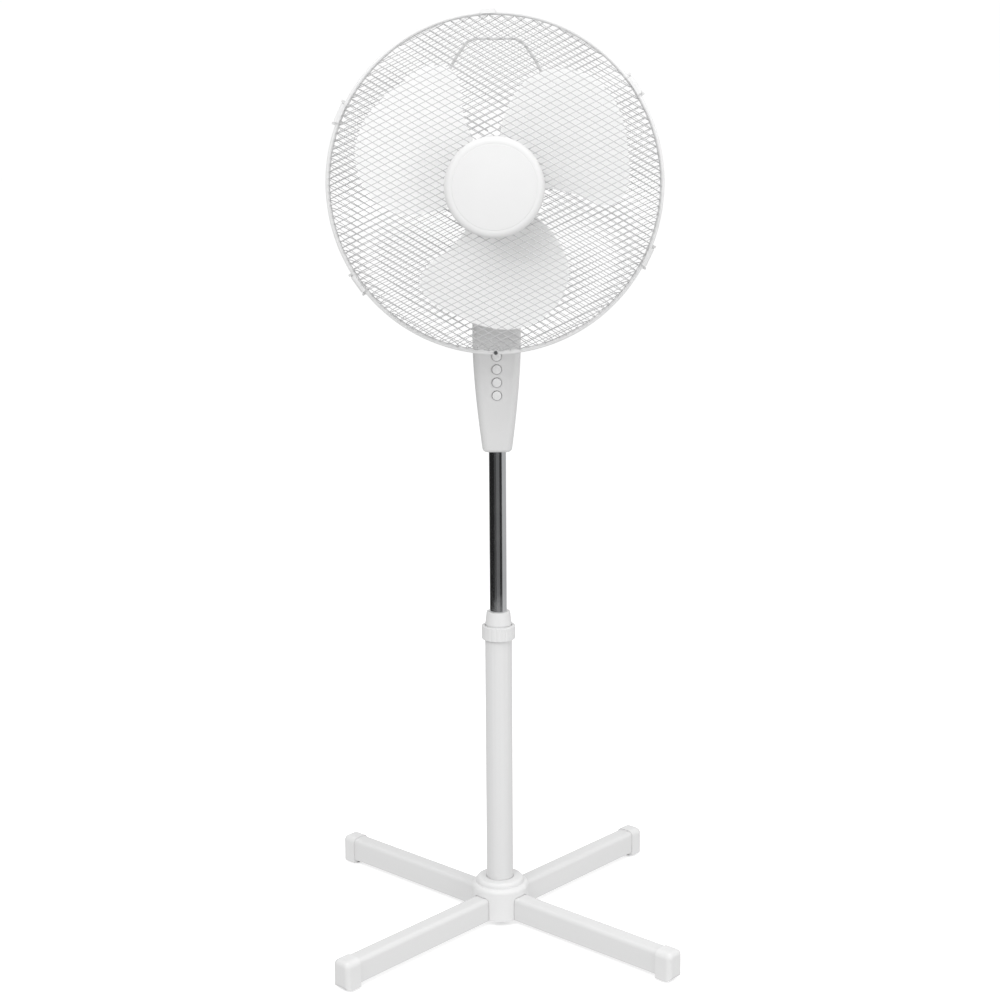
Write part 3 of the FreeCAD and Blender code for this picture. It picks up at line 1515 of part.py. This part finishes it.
def carrying_handle():
    """A bent wire grip standing off the back of the rear guard near the top: two feet on the mesh,
    leaning sides and a level bar with round shoulders."""
    half = size("handle_half_width")
    height = size("head_height")
    bar_half, bar_height, bar_depth = 24, 184.3, -50
    half_path = [
        Vector(-half - 2, -67.4, height + 138),
        Vector(-half, -59, height + 142),
        Vector(-half + 6, -52, height + 154),
        Vector(-bar_half - 18, bar_depth, height + 172),
        Vector(-bar_half - 9, bar_depth, height + 181.5),
        Vector(-bar_half, bar_depth, height + bar_height),
        Vector(-bar_half / 3, bar_depth, height + bar_height),
    ]
    mirrored = [Vector(-point.x, point.y, point.z) for point in reversed(half_path)]
    curve = Part.BSplineCurve()
    curve.interpolate(half_path + mirrored)
    start = half_path[0]
    tangent = half_path[1] - half_path[0]
    ring = Part.Wire(Part.makeCircle(size("handle_wire"), start, tangent))
    pipe = Part.Wire(curve.toShape()).makePipeShell([ring], True, True)
    keep("carrying_handle", solid("carrying_handle", pipe))


def guard():
    guard_mesh("front_guard_mesh", -1, 50)
    guard_mesh("rear_guard_mesh", 1, size("plate_radius + gap"))
    rims()
    guard_clips()
    rim_fasteners()
    badge()
    badge_screws()
    rear_guard_plate()
    guard_nut()
    carrying_handle()


# ---------------------------------------------------------------- build, check and write

base()
post()
switch_box()
tilting_neck()
motor()
propeller()
spinner()
guard()
doc.recompute()

faulty = [
    item.Label for item in doc.Objects
    if "Invalid" in item.State or "Error" in item.State
]
for piece in pieces:
    if piece.Shape.isNull() or not piece.Shape.isValid() or not piece.Shape.Solids:
        faulty.append(piece.Label)
if faulty:
    raise RuntimeError("faulty: " + ", ".join(faulty))

os.makedirs("parts", exist_ok=True)
for piece in pieces:
    piece.Shape.exportStep(f"parts/{piece.Label}.step")
print(len(pieces), "pieces written")
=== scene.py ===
import json
import math

import bmesh
import bpy
from mathutils import Matrix, Vector


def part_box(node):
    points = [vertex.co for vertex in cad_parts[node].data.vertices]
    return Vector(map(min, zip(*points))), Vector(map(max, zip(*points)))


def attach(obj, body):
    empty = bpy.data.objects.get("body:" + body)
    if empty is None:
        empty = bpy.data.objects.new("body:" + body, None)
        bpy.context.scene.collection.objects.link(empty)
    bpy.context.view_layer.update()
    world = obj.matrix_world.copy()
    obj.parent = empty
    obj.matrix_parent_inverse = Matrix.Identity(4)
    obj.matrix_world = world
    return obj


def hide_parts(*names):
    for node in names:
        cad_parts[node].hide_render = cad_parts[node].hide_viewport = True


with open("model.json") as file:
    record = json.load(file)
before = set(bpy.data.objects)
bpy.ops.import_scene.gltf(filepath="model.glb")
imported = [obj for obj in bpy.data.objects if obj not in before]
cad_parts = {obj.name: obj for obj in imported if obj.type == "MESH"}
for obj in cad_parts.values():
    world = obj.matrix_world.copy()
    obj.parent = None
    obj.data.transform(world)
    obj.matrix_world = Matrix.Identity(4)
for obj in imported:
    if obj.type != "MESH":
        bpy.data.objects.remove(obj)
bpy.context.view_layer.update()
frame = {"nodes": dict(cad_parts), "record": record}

# Pedestal fan. Metres, +Z up, the fan facing -Y. Places and sizes come from the frame.


# ---------------------------------------------------------------- shader helpers

def new_material(name):
    material = bpy.data.materials.new(name)
    material.use_nodes = True
    nodes = material.node_tree.nodes
    shader = nodes["Principled BSDF"]
    return material, material.node_tree, shader


def node(tree, kind, **settings):
    """A node with plain attributes, or input values where the key is an input's name."""
    item = tree.nodes.new(kind)
    for key, value in settings.items():
        if hasattr(item, key):
            setattr(item, key, value)
        else:
            item.inputs[key.replace("_", " ")].default_value = value
    return item


def link(tree, source, output, target, entry):
    tree.links.new(source.outputs[output], target.inputs[entry])


def object_noise(tree, scale, detail=3.0, stretch=(1, 1, 1)):
    """Noise on the object's own coordinates, in metres times scale."""
    place = node(tree, "ShaderNodeTexCoord")
    mapping = node(tree, "ShaderNodeMapping")
    mapping.inputs["Scale"].default_value = stretch
    noise = node(tree, "ShaderNodeTexNoise", Scale=scale, Detail=detail, Roughness=0.55)
    link(tree, place, "Object", mapping, "Vector")
    link(tree, mapping, "Vector", noise, "Vector")
    return noise


def span(tree, source, output, low, high, start=0.3, end=0.7):
    """Maps a noise value onto a range."""
    answer = node(tree, "ShaderNodeMapRange")
    answer.inputs["From Min"].default_value = start
    answer.inputs["From Max"].default_value = end
    answer.inputs["To Min"].default_value = low
    answer.inputs["To Max"].default_value = high
    link(tree, source, output, answer, "Value")
    return answer


def blend_colours(tree, factor, output, first, second):
    mix = node(tree, "ShaderNodeMix", data_type="RGBA")
    mix.inputs[6].default_value = (*first, 1)
    mix.inputs[7].default_value = (*second, 1)
    tree.links.new(factor.outputs[output], mix.inputs[0])
    return mix


def worn_edges(tree, base, worn):
    """Lets the worn colour through where the surface is sharply convex."""
    geometry = node(tree, "ShaderNodeNewGeometry")
    edge = span(tree, geometry, "Pointiness", 0.0, 0.55, 0.53, 0.62)
    mix = node(tree, "ShaderNodeMix", data_type="RGBA")
    mix.inputs[7].default_value = (*worn, 1)
    link(tree, edge, "Result", mix, 0)
    tree.links.new(base.outputs[2], mix.inputs[6])
    return mix


def bump(tree, shader, noise, strength, distance):
    relief = node(tree, "ShaderNodeBump")
    relief.inputs["Strength"].default_value = strength
    relief.inputs["Distance"].default_value = distance
    link(tree, noise, "Fac", relief, "Height")
    link(tree, relief, "Normal", shader, "Normal")


def scaled(colour, factor):
    return tuple(min(1.0, channel * factor) for channel in colour)


def grey(level):
    return (level, level, level)


# ---------------------------------------------------------------- materials

def moulded_plastic(name, colour, rough=0.35, grain=2600, relief=0.12, coat=0.0):
    """Injection-moulded plastic: faint clouding, a fine spark-eroded grain and rubbed edges."""
    material, tree, shader = new_material(name)
    clouds = object_noise(tree, 22, 4)
    tint = blend_colours(tree, clouds, "Fac", scaled(colour, 0.965), scaled(colour, 1.02))
    edges = worn_edges(tree, tint, scaled(colour, 1.07))
    tree.links.new(edges.outputs[2], shader.inputs["Base Color"])
    smudge = object_noise(tree, 70, 5)
    gloss = span(tree, smudge, "Fac", rough - 0.05, rough + 0.08)
    link(tree, gloss, "Result", shader, "Roughness")
    bump(tree, shader, object_noise(tree, grain, 2), relief, 0.0002)
    shader.inputs["Coat Weight"].default_value = coat
    return material


def enamel(name, colour, rough=0.32, peel=650):
    """Sprayed enamel on steel, with orange peel, faint dust and thin spots on the edges.

    Its roughness stays above 0.28: across that value the denoiser leaves flecks on pale paint."""
    material, tree, shader = new_material(name)
    clouds = object_noise(tree, 9, 3)
    tint = blend_colours(tree, clouds, "Fac", scaled(colour, 0.98), scaled(colour, 1.01))
    edges = worn_edges(tree, tint, scaled(colour, 0.9))
    tree.links.new(edges.outputs[2], shader.inputs["Base Color"])
    dust = object_noise(tree, 130, 6)
    gloss = span(tree, dust, "Fac", rough - 0.02, rough + 0.04)
    link(tree, gloss, "Result", shader, "Roughness")
    bump(tree, shader, object_noise(tree, peel, 3), 0.02, 0.0001)
    shader.inputs["Coat Weight"].default_value = 0.25
    shader.inputs["Coat Roughness"].default_value = 0.12
    return material


def plated_chrome():
    """Bright plating with fine drawing lines along the tube and a few hazy smudges."""
    material, tree, shader = new_material("plated_chrome")
    shader.inputs["Metallic"].default_value = 1.0
    haze = object_noise(tree, 26, 5)
    tint = blend_colours(tree, haze, "Fac", (0.70, 0.71, 0.73), (0.80, 0.81, 0.82))
    tree.links.new(tint.outputs[2], shader.inputs["Base Color"])
    gloss = span(tree, haze, "Fac", 0.06, 0.15)
    link(tree, gloss, "Result", shader, "Roughness")
    bump(tree, shader, object_noise(tree, 900, 2, (1, 1, 0.02)), 0.05, 0.0001)
    return material


def bare_metal(name, colour, rough, stretch=(1, 1, 1), metallic=1.0):
    """Zinc-plated, cast or rolled metal, blotchy and slightly rubbed."""
    material, tree, shader = new_material(name)
    shader.inputs["Metallic"].default_value = metallic
    blotch = object_noise(tree, 160, 5, stretch)
    tint = blend_colours(tree, blotch, "Fac", scaled(colour, 0.8), scaled(colour, 1.1))
    edges = worn_edges(tree, tint, scaled(colour, 1.3))
    tree.links.new(edges.outputs[2], shader.inputs["Base Color"])
    gloss = span(tree, blotch, "Fac", rough - 0.08, rough + 0.12)
    link(tree, gloss, "Result", shader, "Roughness")
    bump(tree, shader, object_noise(tree, 1400, 3, stretch), 0.15, 0.0002)
    return material


def pad_rubber():
    """Dull black rubber with a dusty bloom."""
    material, tree, shader = new_material("pad_rubber")
    bloom = object_noise(tree, 240, 6)
    tint = blend_colours(tree, bloom, "Fac", (0.025, 0.025, 0.026), (0.075, 0.074, 0.072))
    tree.links.new(tint.outputs[2], shader.inputs["Base Color"])
    gloss = span(tree, bloom, "Fac", 0.7, 0.9)
    link(tree, gloss, "Result", shader, "Roughness")
    bump(tree, shader, object_noise(tree, 1800, 3), 0.3, 0.0002)
    return material


def wound_copper():
    """Varnished winding wire, laid in fine turns round the coil."""
    material, tree, shader = new_material("wound_copper")
    place = node(tree, "ShaderNodeTexCoord")
    turns = node(tree, "ShaderNodeTexWave", Scale=240, Distortion=2.5)
    turns.inputs["Detail"].default_value = 2
    link(tree, place, "Object", turns, "Vector")
    tint = blend_colours(tree, turns, "Fac", (0.28, 0.09, 0.035), (0.72, 0.33, 0.14))
    tree.links.new(tint.outputs[2], shader.inputs["Base Color"])
    shader.inputs["Metallic"].default_value = 0.7
    gloss = span(tree, turns, "Fac", 0.25, 0.4, 0, 1)
    link(tree, gloss, "Result", shader, "Roughness")
    bump(tree, shader, turns, 0.5, 0.0005)
    return material


def laminated_iron():
    """Motor iron, stacked in thin sheets along the shaft."""
    material, tree, shader = new_material("laminated_iron")
    place = node(tree, "ShaderNodeTexCoord")
    sheets = node(tree, "ShaderNodeTexWave", Scale=300, bands_direction="Y")
    link(tree, place, "Object", sheets, "Vector")
    tint = blend_colours(tree, sheets, "Fac", (0.10, 0.10, 0.11), (0.32, 0.32, 0.33))
    tree.links.new(tint.outputs[2], shader.inputs["Base Color"])
    shader.inputs["Metallic"].default_value = 0.9
    gloss = span(tree, sheets, "Fac", 0.35, 0.5, 0, 1)
    link(tree, gloss, "Result", shader, "Roughness")
    bump(tree, shader, sheets, 0.3, 0.0002)
    return material


# One material for each slot of the record.
materials = {
    "white_paint": enamel("white_enamel", grey(0.68)),
    "white_plastic": moulded_plastic("white_plastic", grey(0.69), 0.38),
    "rim_plastic": moulded_plastic("clip_plastic", grey(0.72), 0.42),
    "rubber_pad": pad_rubber(),
    "chrome_tube": plated_chrome(),
    "mesh_wire": enamel("wire_enamel", (0.54, 0.54, 0.545), 0.35, 900),
    "blade_plastic": moulded_plastic("blade_plastic", grey(0.92), 0.34, 1800, 0.05, 0.2),
    "black_plastic": moulded_plastic("black_plastic", (0.035, 0.035, 0.037), 0.45),
    "steel": bare_metal("zinc_steel", (0.55, 0.56, 0.58), 0.32),
    "motor_iron": laminated_iron(),
    "copper_winding": wound_copper(),
    "bearing_bronze": bare_metal("bearing_bronze", (0.62, 0.42, 0.2), 0.4),
    "cast_alloy": bare_metal("cast_alloy", (0.6, 0.61, 0.62), 0.5),
    "gear_plastic": moulded_plastic("nylon", (0.78, 0.75, 0.66), 0.4),
}


# Nodes given a grey of their own, lighter or darker than the rest of their slot; the switch box's
# darker grey is partly painted shade.
HUB_PLASTIC = moulded_plastic("hub_plastic", grey(0.74), 0.38)
CAP_PLASTIC = moulded_plastic("cap_plastic", grey(0.71), 0.38)
# The switch box plastic is a darker grey than the other plastics: part of it is painted shade,
# standing in for the shade the head above throws on the box.
BOX_PLASTIC_PAINTED_SHADE = moulded_plastic("box_plastic_painted_shade", grey(0.625), 0.4)
LEG_ENAMEL = enamel("leg_enamel", grey(0.745))
OWN_PAINT_AND_PAINTED_SHADE = {
    "hub_cover": HUB_PLASTIC,
    "leg_bar_upper": LEG_ENAMEL,
    "leg_bar_lower": LEG_ENAMEL,
    "end_cap_front_left": CAP_PLASTIC,
    "end_cap_front_right": CAP_PLASTIC,
    "end_cap_rear_left": CAP_PLASTIC,
    "end_cap_rear_right": CAP_PLASTIC,
    # Both switch box halves get the darker grey that holds painted shade.
    "housing_front": BOX_PLASTIC_PAINTED_SHADE,
    "housing_rear": BOX_PLASTIC_PAINTED_SHADE,
    "front_rim": enamel("front_rim_enamel", grey(0.74)),
    "rear_rim": enamel("rear_rim_enamel", grey(0.72)),
    "carrying_handle": enamel("handle_enamel", grey(0.66)),
}


def finish_cad_nodes():
    """Gives every carried-over CAD node the material of its slot."""
    for part in frame["record"]["subparts"]:
        item = frame["nodes"][part["node"]]
        material = OWN_PAINT_AND_PAINTED_SHADE.get(part["node"], materials[part["material_slot"]])
        mesh = item.data
        if not mesh.materials:
            mesh.materials.append(None)
        for index in range(len(mesh.materials)):
            mesh.materials[index] = material


# ---------------------------------------------------------------- guard meshes

DISH_POWER = 2.6
STRAND_SPACING = 0.00767
STRAND_SLOPE = math.radians(28.4)
STRAND_RADIUS = 0.00055
MESH_ROLL = math.radians(-2.65)
FRONT_MESH_HOLE = 0.050
REAR_MESH_HOLE = 0.0623
STRAND_SIDES = 5
STRAND_STEPS = 44
FAMILY_LIFT = 0.45  # strand radii that the two crossing families lie apart from the dish
RIM_MARGIN = 0.001


def strand_points(offset, slope, radius, inner, height_at):
    """The runs of one strand that crosses the dish at this offset from its middle."""
    half = math.sqrt(radius**2 - offset**2)
    along = Vector((math.cos(slope), 0, math.sin(slope)))
    across = Vector((-math.sin(slope), 0, math.cos(slope)))
    run, runs = [], []
    for step in range(STRAND_STEPS + 1):
        reach = half * math.sin(math.pi * (step / STRAND_STEPS - 0.5))
        point = along * reach + across * offset
        if point.length < inner:
            if len(run) > 1:
                runs.append(run)
            run = []
            continue
        point.y = height_at(min(point.length, radius))
        run.append(point)
    if len(run) > 1:
        runs.append(run)
    return runs


def sweep(shape, run, middle, radius):
    """A thin round wire along a run of points."""
    rings = []
    for index, point in enumerate(run):
        ahead = run[min(index + 1, len(run) - 1)]
        behind = run[max(index - 1, 0)]
        forward = (ahead - behind).normalized()
        side = forward.cross(Vector((0, 1, 0))).normalized()
        up = side.cross(forward)
        ring = []
        for corner in range(STRAND_SIDES):
            angle = 2 * math.pi * corner / STRAND_SIDES
            outward = math.cos(angle) * side + math.sin(angle) * up
            ring.append(shape.verts.new(middle + point + radius * outward))
        rings.append(ring)
    for first, second in zip(rings, rings[1:]):
        for corner in range(STRAND_SIDES):
            following = (corner + 1) % STRAND_SIDES
            shape.faces.new((first[corner], first[following], second[following], second[corner]))
    shape.faces.new(list(reversed(rings[0])))
    shape.faces.new(rings[-1])


def guard_mesh(cad_name, name, facing, inner):
    """The true diamond mesh of one guard half: two families of straight strands over the dish."""
    low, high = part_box(cad_name)
    middle = Vector(((low[0] + high[0]) / 2, 0, (low[2] + high[2]) / 2))
    radius = (high[0] - low[0]) / 2
    rim_y = high[1] if facing < 0 else low[1]
    cad_depth = high[1] - low[1]
    cut_depth = (1 - (inner / radius) ** DISH_POWER) ** (1 / DISH_POWER)
    depth = cad_depth / cut_depth
    shape = bmesh.new()
    for family in (1, -1):
        slope = family * STRAND_SLOPE + MESH_ROLL
        lift = family * FAMILY_LIFT

        def height_at(distance, lift=lift):
            drop = max(0.0, 1 - (distance / radius) ** DISH_POWER) ** (1 / DISH_POWER)
            return rim_y + facing * (drop * (depth - 2 * STRAND_RADIUS) + lift * STRAND_RADIUS)

        count = int(radius / STRAND_SPACING)
        for number in range(-count, count + 1):
            offset = number * STRAND_SPACING
            if abs(offset) > radius - RIM_MARGIN:
                continue
            for run in strand_points(offset, slope, radius, inner, height_at):
                sweep(shape, run, middle, STRAND_RADIUS)
    return mesh_object(shape, name, "head", "mesh_wire", cad_name)


def mesh_object(shape, name, body, slot, *stands_for):
    """Turns a bmesh into a smooth piece that rides on a body."""
    mesh = bpy.data.meshes.new(name)
    shape.normal_update()
    shape.to_mesh(mesh)
    shape.free()
    for face in mesh.polygons:
        face.use_smooth = True
    mesh.materials.append(materials[slot])
    item = bpy.data.objects.new(name, mesh)
    bpy.context.collection.objects.link(item)
    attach(item, body)
    if stands_for:
        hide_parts(*stands_for)
    return item


# ---------------------------------------------------------------- studio

STUDIO_RADIUS = 40.0
WORLD_LIGHT = 0.75
FLOOR_GLOW = 0.34
BACKDROP_GLOW = 1.02
CARD_RADIUS = 1.5
CARD_BOTTOM = 0.02
CARD_TOP = 2.6
CARD_STEPS = 12


def stage_object(name, points, faces, material):
    mesh = bpy.data.meshes.new(name)
    mesh.from_pydata(points, [], faces)
    mesh.materials.append(material)
    item = bpy.data.objects.new(name, mesh)
    bpy.context.collection.objects.link(item)
    return item


def lamp_material(name, brightness):
    material, tree, shader = new_material(name)
    shader.inputs["Base Color"].default_value = (0, 0, 0, 1)
    shader.inputs["Specular IOR Level"].default_value = 0.0
    shader.inputs["Emission Color"].default_value = (1, 1, 1, 1)
    shader.inputs["Emission Strength"].default_value = brightness
    return material


def floor():
    """A pale matt floor out to the backdrop, bright enough to be white where nothing shades it."""
    half = STUDIO_RADIUS
    corners = [(-half, -half, 0), (half, -half, 0), (half, half, 0), (-half, half, 0)]
    material, tree, shader = new_material("studio_floor")
    soft = object_noise(tree, 3, 3)
    tint = blend_colours(tree, soft, "Fac", grey(0.93), grey(0.95))
    tree.links.new(tint.outputs[2], shader.inputs["Base Color"])
    shader.inputs["Roughness"].default_value = 0.9
    shader.inputs["Specular IOR Level"].default_value = 0.0
    shader.inputs["Emission Color"].default_value = (1, 1, 1, 1)
    shader.inputs["Emission Strength"].default_value = FLOOR_GLOW
    item = stage_object("floor", corners, [(0, 1, 2, 3)], material)
    item.visible_diffuse = False
    item.visible_glossy = False


def backdrop():
    """A white sphere round everything that only the camera sees."""
    shape = bmesh.new()
    bmesh.ops.create_uvsphere(shape, u_segments=48, v_segments=24, radius=STUDIO_RADIUS)
    points = [tuple(vertex.co) for vertex in shape.verts]
    faces = [tuple(vertex.index for vertex in face.verts) for face in shape.faces]
    shape.free()
    item = stage_object("backdrop", points, faces, lamp_material("backdrop_white", BACKDROP_GLOW))
    item.visible_diffuse = False
    item.visible_glossy = False
    item.visible_transmission = False
    item.visible_shadow = False


def reflected_card(name, start, end, brightness):
    """An upright curved card that only shiny surfaces see, for the bands in the chrome."""
    points, faces = [], []
    for step in range(CARD_STEPS + 1):
        angle = math.radians(start + (end - start) * step / CARD_STEPS)
        spot = (CARD_RADIUS * math.sin(angle), -CARD_RADIUS * math.cos(angle))
        points += [(*spot, CARD_BOTTOM), (*spot, CARD_TOP)]
    for step in range(CARD_STEPS):
        first = 2 * step
        faces.append((first, first + 2, first + 3, first + 1))
    item = stage_object(name, points, faces, lamp_material(name, brightness))
    item.visible_camera = False
    item.visible_diffuse = False
    item.visible_transmission = False
    item.visible_shadow = False


def softbox(name, place, target_height, width, power):
    """A square lamp aimed at the post."""
    target = (0, 0, target_height)
    data = bpy.data.lights.new(name, "AREA")
    data.size = width
    data.energy = power
    item = bpy.data.objects.new(name, data)
    item.location = place
    item.rotation_euler = (Vector(target) - Vector(place)).to_track_quat("-Z", "Y").to_euler()
    bpy.context.collection.objects.link(item)
    item.visible_camera = False
    item.visible_glossy = False


# Each lamp's place, the height on the post that it is aimed at, its width and its power.
SOFTBOXES = {
    "key": ((-1.2, -2.35, 2.75), 0.85, 1.8, 46),
    "fill": ((1.9, -2.2, 1.2), 0.6, 1.6, 23),
    "top": ((0.4, -0.3, 3.0), 0.6, 2.0, 18),
}

# Bands seen in the chrome: from and to degrees about the post from the camera's side, brightness.
CHROME_BANDS = {
    "card_behind_left": (-178, -140, 0.5),
    "card_left": (-140, -48, 0.02),
    "card_front_left": (-48, -20, 0.07),
    "card_front": (-20, 24, 0.15),
    "card_front_right": (24, 58, 0.035),
    "card_right": (58, 142, 0.5),
}


def studio():
    world = bpy.data.worlds.new("studio")
    bpy.context.scene.world = world
    world.use_nodes = True
    background = world.node_tree.nodes["Background"]
    background.inputs["Color"].default_value = (1, 1, 1, 1)
    background.inputs["Strength"].default_value = WORLD_LIGHT
    bpy.context.scene.view_settings.view_transform = "Standard"
    floor()
    backdrop()
    for name, (start, end, brightness) in CHROME_BANDS.items():
        reflected_card(name, start, end, brightness)
    for name, (place, target_height, width, power) in SOFTBOXES.items():
        softbox(name, place, target_height, width, power)


CAMERA_DISTANCE = 2.437
CAMERA_HEIGHT = 1.12
CAMERA_SIDE = 0.0031
CAMERA_PITCH = math.radians(11.7)
CAMERA_ROLL = math.radians(-0.33)
CAMERA_TURN = math.radians(0.5)
LENS = 64.8


def camera():
    data = bpy.data.cameras.new("camera")
    data.lens = LENS
    data.sensor_width = 36
    item = bpy.data.objects.new("camera", data)
    turn = Matrix.Rotation(CAMERA_TURN, 4, "Z")
    place = turn @ Vector((CAMERA_SIDE, -CAMERA_DISTANCE, CAMERA_HEIGHT))
    pitch = Matrix.Rotation(math.pi / 2 - CAMERA_PITCH, 4, "X")
    roll = Matrix.Rotation(CAMERA_ROLL, 4, "Z")
    item.matrix_world = Matrix.Translation(place) @ turn @ pitch @ roll
    bpy.context.collection.objects.link(item)
    bpy.context.scene.camera = item


camera()
studio()
finish_cad_nodes()
guard_mesh("front_guard_mesh", "front_guard_strands", -1, FRONT_MESH_HOLE)
guard_mesh("rear_guard_mesh", "rear_guard_strands", 1, REAR_MESH_HOLE)
